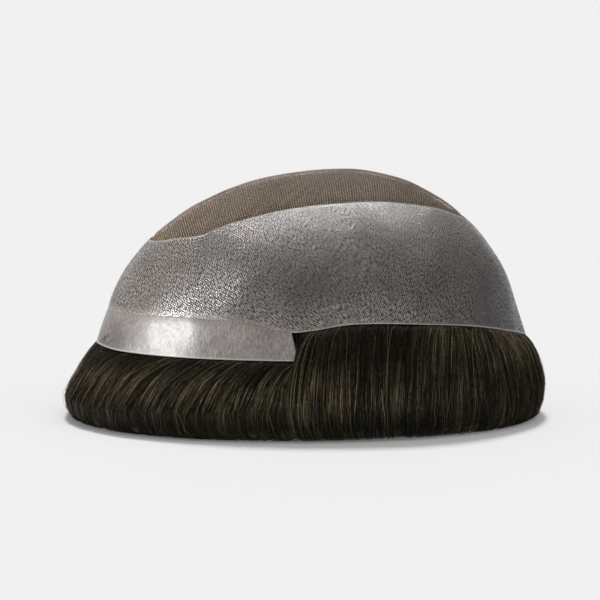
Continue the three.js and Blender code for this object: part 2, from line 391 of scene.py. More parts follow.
def skin_material():
    material, tree, shader = new_material("skin_film")
    place = object_place(tree)
    drift = {"Vector": place, "Scale": 220.0, "Detail": 1.0}
    drift = node(tree, "ShaderNodeTexNoise", drift).outputs["Color"]
    cells, streaks = [], []
    for layer, (wide, long) in KNOTS.items():
        vector = {0: drift, 1: KNOT_DRIFT, 2: uv(tree, layer, (1 / wide, 1 / long))}
        vector = node(tree, "ShaderNodeVectorMath", vector, operation="MULTIPLY_ADD")
        inputs = {"Vector": vector.outputs[0], "Scale": 1.0, "Randomness": 0.4}
        made = node(tree, "ShaderNodeTexVoronoi", inputs, voronoi_dimensions="2D")
        cells.append(made.outputs["Distance"])
        streaks.append(noise(tree, uv(tree, layer, (1 / STREAK[0], 1 / STREAK[1])), 1.0, 2.0, 0.6))
    front = attribute(tree, "front")
    blur = noise(tree, place, 90.0, 1.0)
    front = math_node(tree, "ADD", front, stepped(tree, blur, 0.3, 0.7, -0.35, 0.35))
    front = stepped(tree, front, 0.44, 0.56)
    cell = node(tree, "ShaderNodeMix", {0: front, 2: cells[0], 3: cells[1]}).outputs[0]
    streak = node(tree, "ShaderNodeMix", {0: front, 2: streaks[0], 3: streaks[1]}).outputs[0]
    cell = math_node(tree, "MULTIPLY_ADD", streak, 0.5, math_node(tree, "SUBTRACT", cell, 0.26))
    knot = stepped(tree, cell, 0.12, 0.62, 1, 0)
    grain = noise(tree, place, 1900.0, 2.0, 0.6)
    patches = noise(tree, place, 26.0, 3.0, 0.55)
    blotches = noise(tree, place, 150.0, 2.0, 0.6)
    bare = attribute(tree, "bare")
    film = stepped(tree, cell, 0.27, 0.44, 1, 0)
    film = math_node(tree, "MAXIMUM", film, math_node(tree, "MULTIPLY", bare, 0.45))
    colour = mixed(tree, film, SKIN_ROOT, SKIN_FILM)
    tone = stepped(tree, patches, 0.3, 0.72, 0.82, 1.18)
    tone = math_node(tree, "MULTIPLY", tone, stepped(tree, blotches, 0.25, 0.75, 0.86, 1.14))
    tone = math_node(tree, "MULTIPLY", tone, stepped(tree, grain, 0.3, 0.7, 0.7, 1.3))
    # The shade attribute: darker for hair behind the film, with painted shade and painted light for how the
    # lamps fall.
    tone = math_node(tree, "MULTIPLY", tone, attribute(tree, "shade"))
    colour = scaled(tree, colour, tone)
    # The rim attribute paints a pale highlight along the film's edges.
    colour = mixed(tree, attribute(tree, "rim"), colour, SKIN_EDGE_HIGHLIGHT)
    tree.links.new(colour, shader.inputs["Base Color"])
    height = math_node(tree, "MULTIPLY_ADD", grain, 0.3, knot)
    bump = {"Height": height, "Strength": 1.0, "Distance": KNOT_BUMP}
    bump = node(tree, "ShaderNodeBump", bump).outputs[0]
    slow = noise(tree, place, 160.0, 2.0)
    soft = {"Height": slow, "Strength": 0.35, "Distance": 0.0006, "Normal": bump}
    normal = node(tree, "ShaderNodeBump", soft).outputs[0]
    tree.links.new(normal, shader.inputs["Normal"])
    tree.links.new(normal, shader.inputs["Coat Normal"])
    tree.links.new(math_node(tree, "MULTIPLY_ADD", film, -0.28, 0.55), shader.inputs["Roughness"])
    tree.links.new(math_node(tree, "MULTIPLY", film, 0.95), shader.inputs["Coat Weight"])
    shader.inputs["Coat Roughness"].default_value = 0.13
    return material


# The clear film, with a soft trace of the hair behind it and a painted highlight along its rim.
STRIP_FILM = (0.222, 0.195, 0.182, 1)
STRIP_HAIR = (0.126, 0.109, 0.101, 1)
STRIP_EDGE_HIGHLIGHT = (0.55, 0.53, 0.52, 1)


def strip_material():
    material, tree, shader = new_material("clear_film")
    place = object_place(tree)
    strands = noise(tree, uv(tree, "flat", (1.7, 0.3)), 1.0, 3.0, 0.65)
    wide = noise(tree, place, 45.0, 3.0, 0.55)
    colour = mixed(tree, stepped(tree, strands, 0.3, 0.7), STRIP_HAIR, STRIP_FILM)
    specks = noise(tree, place, 700.0, 3.0, 0.7)
    # The shade attribute: darker for hair behind the film, with painted shade for how the lamps fall.
    tone = math_node(tree, "MULTIPLY", stepped(tree, wide, 0.3, 0.7, 0.82, 1.16), attribute(tree, "shade"))
    tone = math_node(tree, "MULTIPLY", tone, stepped(tree, specks, 0.35, 0.65, 0.8, 1.15))
    colour = scaled(tree, colour, tone)
    # The rim attribute paints a pale highlight along the film's hem and ends.
    colour = mixed(tree, attribute(tree, "rim"), colour, STRIP_EDGE_HIGHLIGHT)
    tree.links.new(colour, shader.inputs["Base Color"])
    slow = noise(tree, place, 110.0, 4.0, 0.55)
    fine = {"Height": strands, "Strength": 0.35, "Distance": 0.0002}
    fine = node(tree, "ShaderNodeBump", fine).outputs[0]
    bump = {"Height": slow, "Strength": 0.5, "Distance": 0.0009, "Normal": fine}
    normal = node(tree, "ShaderNodeBump", bump).outputs[0]
    tree.links.new(normal, shader.inputs["Normal"])
    tree.links.new(normal, shader.inputs["Coat Normal"])
    tree.links.new(stepped(tree, wide, 0.3, 0.7, 0.38, 0.5), shader.inputs["Roughness"])
    shader.inputs["Coat Weight"].default_value = 0.44
    shader.inputs["Coat Roughness"].default_value = 0.34
    return material


# The lace's brown thread as lit, and a painted shade of it, mixed by fine noise.
LACE_THREAD = (0.49, 0.35, 0.25, 1)
LACE_PAINTED_SHADE = (0.07, 0.05, 0.036, 1)


def lace_material():
    material, tree, shader = new_material("lace_mesh")
    place = object_place(tree)
    fibres = noise(tree, place, 1400.0, 2.0, 0.6)
    wide = noise(tree, place, 30.0, 3.0, 0.55)
    # Fine noise mixes the lit thread with its painted shade.
    colour = mixed(tree, stepped(tree, fibres, 0.3, 0.65), LACE_PAINTED_SHADE, LACE_THREAD)
    colour = scaled(tree, colour, stepped(tree, wide, 0.3, 0.7, 0.86, 1.14))
    tree.links.new(colour, shader.inputs["Base Color"])
    bump = {"Height": fibres, "Strength": 0.4, "Distance": 0.00008}
    tree.links.new(node(tree, "ShaderNodeBump", bump).outputs[0], shader.inputs["Normal"])
    tree.links.new(stepped(tree, fibres, 0.3, 0.7, 0.5, 0.7), shader.inputs["Roughness"])
    shader.inputs["Sheen Weight"].default_value = 0.2
    return material


# The hair: near black, with brown and copper strands, which the painted highlight makes paler over the
# bulge.
HAIR_DARK = (0.0052, 0.0056, 0.0033, 1)
HAIR_BROWN = (0.215, 0.184, 0.115, 1)
HAIR_COPPER = (0.5, 0.29, 0.155, 1)
HAIR_GLOSS = (1, 0.94, 0.74, 1)


def strand_material():
    material, tree, shader = new_material("hair_fibre")
    place = object_place(tree)
    # Tone and copper carry the strands' painted highlight and painted shade.
    colour = mixed(tree, attribute(tree, "tone"), HAIR_DARK, HAIR_BROWN)
    colour = mixed(tree, attribute(tree, "copper"), colour, HAIR_COPPER)
    flecks = noise(tree, place, 700.0, 2.0, 0.6)
    colour = scaled(tree, colour, stepped(tree, flecks, 0.3, 0.7, 0.75, 1.25))
    tree.links.new(colour, shader.inputs["Base Color"])
    bump = {"Height": flecks, "Strength": 0.3, "Distance": 0.00005}
    tree.links.new(node(tree, "ShaderNodeBump", bump).outputs[0], shader.inputs["Normal"])
    tree.links.new(stepped(tree, flecks, 0.3, 0.7, 0.24, 0.38), shader.inputs["Roughness"])
    shader.inputs["Specular IOR Level"].default_value = 0.22
    shader.inputs["Specular Tint"].default_value = HAIR_GLOSS
    return material


def core_material():
    material, tree, shader = new_material("hair_core")
    streaks = noise(tree, uv(tree, "flat", (2.2, 0.06)), 1.0, 4.0, 0.65)
    locks = noise(tree, uv(tree, "flat", (0.22, 0.02)), 1.0, 2.0, 0.5)
    colour = mixed(tree, stepped(tree, streaks, 0.35, 0.75), HAIR_DARK, HAIR_BROWN)
    colour = scaled(tree, colour, stepped(tree, locks, 0.3, 0.7, 0.6, 1.3))
    tree.links.new(colour, shader.inputs["Base Color"])
    bump = {"Height": streaks, "Strength": 0.8, "Distance": 0.0004}
    tree.links.new(node(tree, "ShaderNodeBump", bump).outputs[0], shader.inputs["Normal"])
    tree.links.new(stepped(tree, streaks, 0.3, 0.7, 0.5, 0.65), shader.inputs["Roughness"])
    shader.inputs["Specular IOR Level"].default_value = 0.22
    shader.inputs["Specular Tint"].default_value = HAIR_GLOSS
    return material


# Where the hair lies thicker behind the film, with painted shade and one painted lighter band for how the
# lamps fall: x, z, half-length, half-height, and how much darker it is.
HAIR_AND_PAINTED_SHADE = [
    (-4, 64, 34, 18, 0.68),
    (40, 80, 22, 12, 0.2),
    (88, 52, 32, 32, 0.85),
    (26, 50, 46, 9, -0.5),
    (-30, 90, 40, 14, 0.12),
    (-90, 36, 16, 10, 0.4),
]


def hair_and_painted_shade(points):
    x, z = points[..., 0] - MIDDLE_X, points[..., 2]
    shade = np.ones_like(x)
    for at_x, at_z, half_x, half_z, dark in HAIR_AND_PAINTED_SHADE:
        shade = shade * (1 - dark * np.exp(-(((x - at_x) / half_x) ** 2) - ((z - at_z) / half_z) ** 2))
    return shade


# How far the two layers of rows lean along for each step up, and where the front layer takes over.
LEAN_BACK = 0.8
LEAN_FRONT = 0.5
FRONT_SHARE = 0.56
FRONT_BLEND = 22.0

# The film's wall at shares of the way down it, where its rim is free and where it thins out on the strip.
SKIN_WALL = ([0, 0.02, 0.9, 1], [0.35, 0.45, 0.8, 0.5])
SKIN_FEATHER = ([0, 0.02, 0.85, 0.97, 1], [0.35, 0.45, 0.8, 0.16, 0.12])
TOP_SUNK = 0.2
FEATHER_SUNK = 0.07
BARE_BAND = 3.4


# The skin film: a grid from its top edge, which lies over the lace, down to its rim.
def skin_film(material):
    angle = np.linspace(0, TURN, 420, endpoint=False)
    top = height_at(angle, lace_edge_out(angle))
    shares = np.concatenate([[0, 0.008, 0.02], np.linspace(0.05, 0.95, 34), [0.975, 0.99, 1]])
    z = even_heights(angle, top, rim_z(angle), shares)
    column = angle[:, None]
    over_strip = smooth_step(-0.01, 0.01, from_front(column) - STRIP_END)
    plain, feather = np.interp(shares, *SKIN_WALL), np.interp(shares, *SKIN_FEATHER)
    wall = plain + (feather - plain) * over_strip
    sunk = FEATHER_SUNK * over_strip * smooth_step(0.95, 1.0, shares)
    sunk = sunk + TOP_SUNK * smooth_step(0.03, 0.0, shares)
    inner = slice(None, None, -4)
    outside, inside = base_point(column, z, sunk), base_point(column, z[:, inner], wall[:, inner])
    points = np.concatenate([outside, inside], axis=1)
    heights = np.concatenate([z, z[:, inner]], axis=1)
    share = np.concatenate([shares, shares[inner]])
    along, up = run_round(column) + 0 * heights, run_up(column, heights)
    length = up[:, :1] - up[:, len(shares) - 1 : len(shares)]
    to_top, to_rim = share * length, (1 - share) * length
    # A painted highlight along the film's top edge and along its free lower rim.
    top_edge_highlight, low_edge_highlight = smooth_step(1.2, 0.3, to_top) * 0.4, smooth_step(0.7, 0.25, to_rim)
    rim = np.maximum(top_edge_highlight, low_edge_highlight * (1 - over_strip))
    bare = smooth_step(BARE_BAND, 0.2, to_rim) * over_strip
    middle = PLAN_RUN[-1] * FRONT_SHARE
    front = smooth_step(middle - FRONT_BLEND, middle + FRONT_BLEND, along)
    stagger = {layer: 0.5 * long / wide for layer, (wide, long) in KNOTS.items()}
    back, ahead = along + LEAN_BACK * up, along - LEAN_FRONT * up
    piece = mesh_object(
        "skin_border_film",
        points,
        loop_faces(len(angle), points.shape[1], True),
        uvs={
            "lean_back": np.stack([back, up + stagger["lean_back"] * back], axis=-1),
            "lean_front": np.stack([ahead, up - stagger["lean_front"] * ahead], axis=-1),
        },
        floats={"rim": rim, "front": front, "shade": hair_and_painted_shade(points), "bare": bare},
    )
    piece.data.materials.append(material)
    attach(piece, "root")
    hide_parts("skin_border")
    return piece


# The clear strip: it starts just under the skin's rim and ends level, with a square end on each side.
STRIP_LEAD = 0.9
STRIP_WALL = 0.4
STRIP_DEPTHS = ([0, 0.06, 0.1, 0.18], [0.32, 0.26, 0.16, 0.06])


def clear_strip(material):
    shares = np.concatenate([[0, 0.03, 0.06, 0.1], np.linspace(0.18, 0.94, 11), [0.975, 1]])
    turned = np.linspace(0, 1, 260)
    end = STRIP_END + (STRIP_HEM_END - STRIP_END) * shares
    column = end + (TURN - 2 * end) * turned[:, None]
    top = down_from(column, rim_z(column), -STRIP_LEAD)
    z = top + (STRIP_HEM_Z - top) * shares
    outer = np.interp(shares, *STRIP_DEPTHS)
    wide = np.concatenate([column, column[:, ::-1]], axis=1)
    heights = np.concatenate([z, z[:, ::-1]], axis=1)
    depth = np.concatenate([outer, outer[::-1] + STRIP_WALL])
    points = base_point(wide, heights, depth)
    along, up = run_round(wide), run_up(wide, heights)
    to_hem = up - run_up(wide, STRIP_HEM_Z)
    from_end = along[0] - along
    from_end = np.minimum(from_end, from_end[::-1])
    # A painted highlight along the hem and the square ends.
    rim = np.maximum(smooth_step(0.9, 0.2, to_hem), smooth_step(0.8, 0.2, from_end)) * 0.38
    rows = points.shape[1]
    faces = np.concatenate([loop_faces(len(turned), rows, False), end_caps(len(turned), rows)])
    piece = mesh_object(
        "clear_strip_film",
        points,
        faces,
        uvs={"flat": np.stack([along, up], axis=-1)},
        floats={"rim": rim, "shade": hair_and_painted_shade(points)},
    )
    piece.data.materials.append(material)
    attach(piece, "root")
    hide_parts("clear_strip")
    return piece


# The lace: straight threads from side to side of the crown, joined by slanting ones, as in a knitted net.
WALE = 1.05
COURSE = 1.25
NET_COLUMNS = (-115, 83)
NET_ROWS = (-48, 49)
NET_UNEVEN = 0.07
NET_DEPTH = 0.2
THREAD_RADIUS = 0.145
LINK_RADIUS = 0.075
KNOT_OVERLAP = 0.05

# How finely a table gives the way out from the crown's middle for each way along its face.
TABLE_RUNS = np.linspace(0, 105, 400)
TABLE_SHARES = np.linspace(0, 0.97, 500)
TABLE_REACHES = np.linspace(70, 108, 20)


def lace_face(x, y, depth):
    """A place in the lace's own plane, bent over the crown and dipped under the skin's edge."""
    angle, run = np.arctan2(y, x), np.hypot(x, y)
    drop = np.diff(DOME_RISE * (1 - TABLE_SHARES**PROFILE_POWER) ** (1 / PROFILE_POWER))
    outs = []
    for reach in TABLE_REACHES:
        length = np.concatenate([[0], np.cumsum(np.hypot(np.diff(TABLE_SHARES * reach), drop))])
        outs.append(np.interp(TABLE_RUNS, length, TABLE_SHARES * reach))
    outs = np.array(outs)
    reach_step = TABLE_REACHES[1] - TABLE_REACHES[0]
    row = np.clip((plan_reach(angle) - TABLE_REACHES[0]) / reach_step, 0, len(TABLE_REACHES) - 1.001)
    column = np.clip(run / TABLE_RUNS[1], 0, len(TABLE_RUNS) - 1.001)
    i, j = row.astype(int), column.astype(int)
    down, along = row - i, column - j
    out = (
        outs[i, j] * (1 - down) * (1 - along)
        + outs[i + 1, j] * down * (1 - along)
        + outs[i, j + 1] * (1 - down) * along
        + outs[i + 1, j + 1] * down * along
    )
    edge = lace_edge_out(angle)
    slope = np.hypot(1, (height_at(angle, edge - 0.5) - height_at(angle, edge + 0.5)))
    past = (out - edge) * slope
    dip = TUCK_DEPTH * smooth_step(-DIP_RUN, -DIP_LIP, past)
    return base_point(angle, height_at(angle, out), depth + dip), past


def lace_net(material):
    rng = np.random.default_rng(5)
    columns = np.arange(*NET_COLUMNS)
    rows = np.arange(*NET_ROWS)
    grid_x = (columns[:, None] + 0.0 * rows[None, :]) * WALE
    grid_y = (rows[None, :] + 0.5 * (columns[:, None] % 2)) * COURSE
    grid_x = grid_x + rng.normal(0, NET_UNEVEN, grid_x.shape)
    grid_y = grid_y + rng.normal(0, NET_UNEVEN, grid_y.shape)
    points, past = lace_face(grid_x, grid_y, NET_DEPTH)
    kept = past < TUCK - 0.6
    number = np.arange(grid_x.size).reshape(grid_x.shape)
    flat = points.reshape(-1, 3)
    struts, radii = [], []
    pairs = [
        (number[:, :-1], number[:, 1:], kept[:, :-1] & kept[:, 1:], THREAD_RADIUS),
        (number[:-1, :], number[1:, :], kept[:-1, :] & kept[1:, :], LINK_RADIUS),
    ]
    for a, b, both, radius in pairs:
        a, b = a[both], b[both]
        struts.append(np.stack([flat[a], flat[b]], axis=1))
        radii.append(np.full((len(a), 2), radius))
    struts, radii = np.concatenate(struts), np.concatenate(radii)
    along = unit(struts[:, 1] - struts[:, 0])
    struts[:, 0] -= along * KNOT_OVERLAP
    struts[:, 1] += along * KNOT_OVERLAP
    outward = struts.mean(1) - np.array([0, 0, 10.0])
    across = unit(np.cross(along, outward))[:, None, :] + np.zeros((1, 2, 1))
    ring, faces = tubes(struts, radii, across)
    piece = mesh_object("lace_crown_net", ring, faces)
    piece.data.materials.append(material)
    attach(piece, "root")
    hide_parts("lace_crown")
    return piece


# The hair under the base: a streaky body that follows the lace and the film.
LACE_HAIR_DEPTH = 1.7
TUCK_HAIR_DEPTH = 3.0
CROWN_INNER_DEPTH = 6.6


def crown_core(material):
    angle = np.linspace(0, TURN, 240, endpoint=False)
    edge_out = lace_edge_out(angle)
    edge_z = height_at(angle, edge_out)
    crest_out = out_at(angle, down_from(angle, edge_z, -DIP_RUN))
    column = angle[:, None]
    crown = [height_at(angle, share * crest_out) for share in np.linspace(0, 1, 16)]
    dip = [down_from(angle, edge_z, -DIP_LIP), down_from(angle, edge_z, TUCK)]
    join = rim_z(angle) + JOIN_RISE
    start = down_from(angle, edge_z, TUCK + 2)
    skin = list(even_heights(angle, start, join, np.linspace(0, 1, 10)).T)
    z = np.stack(crown + dip + skin, axis=1)
    depth = np.repeat([LACE_HAIR_DEPTH, TUCK_HAIR_DEPTH, HAIR_DEPTH], [len(crown), len(dip), len(skin)])
    inner = slice(None, None, -2)
    outside, inside = base_point(column, z, depth), base_point(column, z[:, inner], CROWN_INNER_DEPTH)
    points = np.concatenate([outside, inside], axis=1)
    heights = np.concatenate([z, z[:, inner]], axis=1)
    along, up = run_round(column) + 0 * heights, run_up(column, heights)
    piece = mesh_object(
        "crown_hair_body",
        points,
        loop_faces(len(angle), points.shape[1], True),
        uvs={"flat": np.stack([along, up], axis=-1)},
    )
    piece.data.materials.append(material)
    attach(piece, "root")
    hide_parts("crown_hair")
    return piece


# The steps along a strand, as shares of each part of its way: behind the hem, over the bulge, and under.
STRAND_STEPS = {
    "behind": np.array([1.0, 0.45]),
    "shoulder": np.array([0.0, 0.16, 0.32, 0.5, 0.68, 0.84, 1.0]),
    "foot": np.array([0.34, 0.67, 1.0]),
    "under": np.array([0.5, 1.0]),
}
ROOT_DROP = 0.3
ROOT_DEPTH = 0.3
BEHIND_RISE = 8.0
BEHIND_STRIP_RISE = 1.5


def roll_path(root_angle, angle, depth, reach_share, steps=STRAND_STEPS):
    """The middle lines of strands, by strand and step. angle and depth may change from step to step."""
    behind, shoulder, foot, under = steps["behind"], steps["shoulder"], steps["foot"], steps["under"]
    hem = hem_z(root_angle)[:, None]
    root = dome_point(angle, hem - ROOT_DROP, ROOT_DEPTH + depth * 0.5)
    part_x = PART_X + MIDDLE_X
    away = unit(np.stack([root[..., 0] - part_x, root[..., 1], 0 * root[..., 0]], axis=-1))

    def in_roll(out):
        along = (root[..., 0] + out * away[..., 0] - MIDDLE_X) / ROLL_HALF_LENGTH
        across = (root[..., 1] + out * away[..., 1]) / ROLL_HALF_WIDTH
        return super_length(along, across, ROLL_POWER) <= 1

    bulge = edge_along(in_roll, root[..., 0], ROLL_HALF_LENGTH)
    front = (1 + np.cos(angle)) / 2
    bulge_z = BULGE_BACK_Z + (BULGE_FRONT_Z - BULGE_BACK_Z) * front
    inset = FOOT_INSET_END + (FOOT_INSET_SIDE - FOOT_INSET_END) * np.sin(angle) ** 2
    tall = root[..., 2] - bulge_z
    out, z = np.zeros_like(bulge), np.zeros_like(bulge)
    foot_start = len(behind) + len(shoulder)
    under_start = foot_start + len(foot)
    s = slice(len(behind), foot_start)
    turn = shoulder * math.pi / 2
    to_back = np.clip(-np.cos(angle[:, s]), 0, 1) ** 2
    power = 2 / (BULGE_POWER + (BACK_BULGE_POWER - BULGE_POWER) * to_back)
    out[:, s] = bulge[:, s] * np.sin(turn) ** power
    z[:, s] = bulge_z[:, s] + tall[:, s] * np.clip(np.cos(turn), 0, 1) ** power
    s = slice(foot_start, under_start)
    turn = foot * math.pi / 2
    out[:, s] = bulge[:, s] - inset[:, s] * (1 - np.cos(turn))
    z[:, s] = bulge_z[:, s] * (1 - np.sin(turn))
    s = slice(under_start, None)
    length = (REST_WIDTH + TIP_REACH) * reach_share[:, None]
    out[:, s] = bulge[:, s] - inset[:, s] - length * under
    z[:, s] = TIP_LIFT * under**2
    s = slice(len(behind), None)
    flow = unit(np.stack([np.gradient(out[:, s], axis=1), np.gradient(z[:, s], axis=1)], axis=-1))
    out[:, s] = out[:, s] + depth[:, s] * flow[..., 1]
    z[:, s] = z[:, s] - depth[:, s] * flow[..., 0]
    points = root + out[..., None] * away
    points[..., 2] = z
    over_strip_hem = rim_z(root_angle) - STRIP_HEM_Z + BEHIND_STRIP_RISE
    rise = np.where(hem[:, 0] == STRIP_HEM_Z, over_strip_hem, BEHIND_RISE)
    for i, share in enumerate(behind):
        below = HAIR_DEPTH + 0.2 + depth[:, i] * 0.6
        points[:, i] = dome_point(angle[:, i], hem[:, 0] + rise * share, below)
    return points, away


def level_across(away):
    """The level direction square to the way that each strand goes out."""
    return np.stack([-away[..., 1], away[..., 0], 0 * away[..., 0]], axis=-1)


# The body of the roll, just below its strands. Inside, it goes back to the dome by shares out and up.
CORE_DEPTH = 2.6
CORE_HEM_DEPTH = 1.0
CORE_FOOT_DEPTH = 1.1
CORE_STEPS = {**STRAND_STEPS, "shoulder": np.linspace(0, 1, 14), "foot": np.linspace(0.2, 1, 5)}
CORE_INSIDE = [(0.0, 0.06), (0.38, 0.12), (0.68, 0.34), (0.9, 0.66)]
CORE_WALL_DEPTH = INNER_DEPTH - 0.6
CORE_JOIN_RISE = 8.0


def roll_core(material):
    angle = np.linspace(0, TURN, 480, endpoint=False)
    steps = sum(len(part) for part in CORE_STEPS.values())
    wide = angle[:, None] + np.zeros((1, steps))
    depth = np.full((len(angle), steps), CORE_DEPTH)
    depth[:, : len(CORE_STEPS["behind"]) + 1] = CORE_HEM_DEPTH
    depth[:, len(CORE_STEPS["behind"]) + len(CORE_STEPS["shoulder"]) + 2 :] = CORE_FOOT_DEPTH
    points, _ = roll_path(angle, wide, depth, np.ones(len(angle)), CORE_STEPS)
    tip = points[:, -1]
    wall_foot = dome_point(angle, hem_z(angle), CORE_WALL_DEPTH)
    join = dome_point(angle, hem_z(angle) + CORE_JOIN_RISE, CORE_WALL_DEPTH)
    inside = []
    for outward, upward in CORE_INSIDE:
        at = tip + (wall_foot - tip) * outward
        at[:, 2] = tip[:, 2] + (wall_foot[:, 2] - tip[:, 2]) * upward
        inside.append(at)
    points = np.concatenate([points, np.stack(inside + [wall_foot, join], axis=1)], axis=1)
    points[..., 2] = np.maximum(points[..., 2], FLOOR_CLEARANCE)
    run = np.cumsum(np.linalg.norm(np.diff(points, axis=1, prepend=points[:, :1]), axis=2), axis=1)
    along = run_round(angle)[:, None] + 0 * run
    piece = mesh_object(
        "hair_roll_body",
        points,
        loop_faces(len(angle), points.shape[1], True),
        uvs={"flat": np.stack([along, run], axis=-1)},
    )
    piece.data.materials.append(material)
    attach(piece, "root")
    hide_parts("hair_roll")
    return piece


# The way along the closed hem, from the front round by the back, and the angle at each.
HEM_RUN = 2 * PLAN_RUN[-1]
HEM_ANGLES = np.linspace(0, TURN, 2881)
HEM_RUNS = PLAN_RUN[-1] + np.where(HEM_ANGLES <= math.pi, -1, 1) * run_round(HEM_ANGLES)


def angle_at(run):
    return np.interp(run, HEM_RUNS, HEM_ANGLES)


def short_way(run):
    """A difference along the closed hem, taken the short way round."""
    return np.mod(run + HEM_RUN / 2, HEM_RUN) - HEM_RUN / 2


# The strands of the roll, gathered in locks. Each lock has its own depth, lean and tone.
LOCK_COUNT = 260
LOCK_DEPTH = 0.45
LOCK_LEAN = 2.0
NEXT_LOCK_SHARE = 0.18
STRANDS_PER_PIECE = 2150
PIECES = 4
STRAND_COUNT = STRANDS_PER_PIECE * PIECES
STRAND_LAYERS = 2.9
HAIR_RADIUS = (0.07, 0.13)

# How far along each step of a strand lies.
STRAND_SHARES = np.concatenate([[0, 0], np.linspace(0.0, 0.62, 7), [0.7, 0.77, 0.84], [0.92, 1.0]])[None, :]

# How far the strands drift along the hem: back at the nape, forward at the front, and a little between.
FLOW_BACK = 13.0
FLOW_FRONT = 9.0
FLOW_MIDDLE = 4.0
FLOW_SHARES = ([0, 0.12, 0.3, 0.5, 0.65, 1], [0, 0.3, 0.78, 1, 1.05, 0.75])

# Painted light on the strands: how much paler they are made at each height, at the nape and at the front,
# and at each turn from the front. It gives a painted highlight band over the bulge, painted shade
# elsewhere, and a painted highlight near the top at the front.
PAINTED_LIGHT_BACK = ([0, 8, 13, 17, 22, 26, 30, 50], [0.4, 0.5, 1.4, 4.0, 3.4, 0.9, 0.3, 0.4])
PAINTED_LIGHT_FRONT = ([0, 10, 20, 28, 38, 50], [0.65, 0.4, 0.42, 0.9, 3.1, 2.6])
PAINTED_LIGHT_TURN = ([60, 105, 125], [0.55, 0.68, 1.05])


def column_of(values):
    return values[:, None]


def strand_locks(rng):
    """Each strand's root along the hem, its lock, the way to that lock, and the lock's depth and lean."""
    lock_run = (np.arange(LOCK_COUNT) + rng.uniform(-0.42, 0.42, LOCK_COUNT)) / LOCK_COUNT * HEM_RUN
    lock_run = np.sort(lock_run)
    lock_depth = np.abs(rng.normal(0, LOCK_DEPTH, LOCK_COUNT))
    lock_lean = rng.normal(0, LOCK_LEAN, LOCK_COUNT)
    root_run = np.sort(rng.uniform(0, HEM_RUN, STRAND_COUNT))
    lock = np.abs(short_way(root_run[:, None] - lock_run[None, :])).argmin(axis=1)
    swapped = rng.uniform(size=STRAND_COUNT) < NEXT_LOCK_SHARE
    lock = np.where(swapped, (lock + rng.choice([-1, 1], STRAND_COUNT)) % LOCK_COUNT, lock)
    return root_run, lock, short_way(lock_run[lock] - root_run), lock_depth[lock], lock_lean[lock]


def strand_runs(rng, root_run, root_turn, offset, lean):
    """Where each step of each strand is along the hem."""
    t = STRAND_SHARES
    gather = column_of(rng.uniform(0.05, 0.55, STRAND_COUNT)) * t**1.3
    stray = column_of(rng.normal(0, 1.0, STRAND_COUNT)) * t
    stray = stray + column_of(rng.normal(0, 0.45, STRAND_COUNT)) * np.sin(t * 6.0)
    side = np.where(root_run > PLAN_RUN[-1], 1.0, -1.0)
    backward = FLOW_BACK * smooth_step(88, 128, root_turn) * smooth_step(180, 158, root_turn)
    backward = backward + FLOW_MIDDLE * smooth_step(54, 62, root_turn) * smooth_step(88, 68, root_turn)
    forward = FLOW_FRONT * smooth_step(56, 36, root_turn) * smooth_step(0, 14, root_turn)
    flow = column_of(side * (forward - backward)) * np.interp(t, *FLOW_SHARES)
    wild = 0.9 + 0.5 * column_of(smooth_step(80, 50, root_turn))
    moved = column_of(offset) * gather + wild * (column_of(lean) * t**1.2 + stray) + flow
    room = np.abs(root_run - PLAN_RUN[-1]) - run_round(STRIP_HEM_END)
    room = column_of(np.where(room > 0, np.maximum(room - 0.5, 0), 200)) + 30 * smooth_step(0.3, 0.5, t)
    moved = column_of(side) * np.maximum(column_of(side) * moved, -room)
    return np.mod(column_of(root_run) + moved, HEM_RUN)


def strand_depths(rng, lock_depth):
    """Each strand's layer, and how deep each of its steps lies."""
    t = STRAND_SHARES
    layer = rng.beta(1.1, 1.9, STRAND_COUNT) * STRAND_LAYERS
    deeper = 0.35 + 0.65 * np.sin(np.clip(t, 0, 0.7) / 0.7 * 1.57)
    depth = column_of(layer + lock_depth * 0.6) * deeper
    depth = depth + 0.18 * np.sin(t * 9 + column_of(rng.uniform(0, TURN, STRAND_COUNT)))
    return layer, np.clip(depth, 0.1, CORE_DEPTH + 0.6)


def strand_colours(rng, lock, layer, root_turn, height):
    """How pale and how copper each step of each strand is, with painted highlight and painted shade."""
    t = STRAND_SHARES
    # Random tone per strand, with deeper layers darker as painted shade and strands towards the front paler
    # as painted light.
    pale = rng.beta(0.6, 2.2, STRAND_COUNT) - 0.04 * layer + 0.1 * smooth_step(70, 20, root_turn)
    lock_turns = column_of(rng.uniform(0.6, 1.6, LOCK_COUNT)[lock]) * t
    lock_turns = lock_turns + column_of(rng.uniform(0, 1, LOCK_COUNT)[lock])
    own_turns = column_of(rng.uniform(1.5, 4.2, STRAND_COUNT)) * t
    own_turns = own_turns + column_of(rng.uniform(0, 1, STRAND_COUNT))
    swing = 0.13 * np.sin(lock_turns * TURN) + 0.33 * np.sin(own_turns * TURN)
    tone = column_of(pale) * (1 + 2.2 * swing) + 0.4 * swing - 0.03
    to_front = column_of(smooth_step(75, 35, root_turn))
    # Painted highlight and painted shade by height and by turn from the front.
    painted_at_back = np.interp(height, *PAINTED_LIGHT_BACK) * column_of(np.interp(root_turn, *PAINTED_LIGHT_TURN))
    level = painted_at_back + (np.interp(height, *PAINTED_LIGHT_FRONT) - painted_at_back) * to_front
    tone = np.clip(tone, 0, 1) ** 1.7 * level * 1.2
    # Painted light: the front strands are paler towards the top.
    tone = np.clip(tone + 0.07 * to_front * smooth_step(20, 32, height), 0, 1)
    reddish = column_of(np.clip(rng.normal(-0.62, 0.55, STRAND_COUNT), 0, 0.85))
    # The copper follows the painted light too.
    copper = np.clip(reddish * (0.5 + 2.0 * swing) * level * 0.7, 0, 0.9)
    return tone, copper


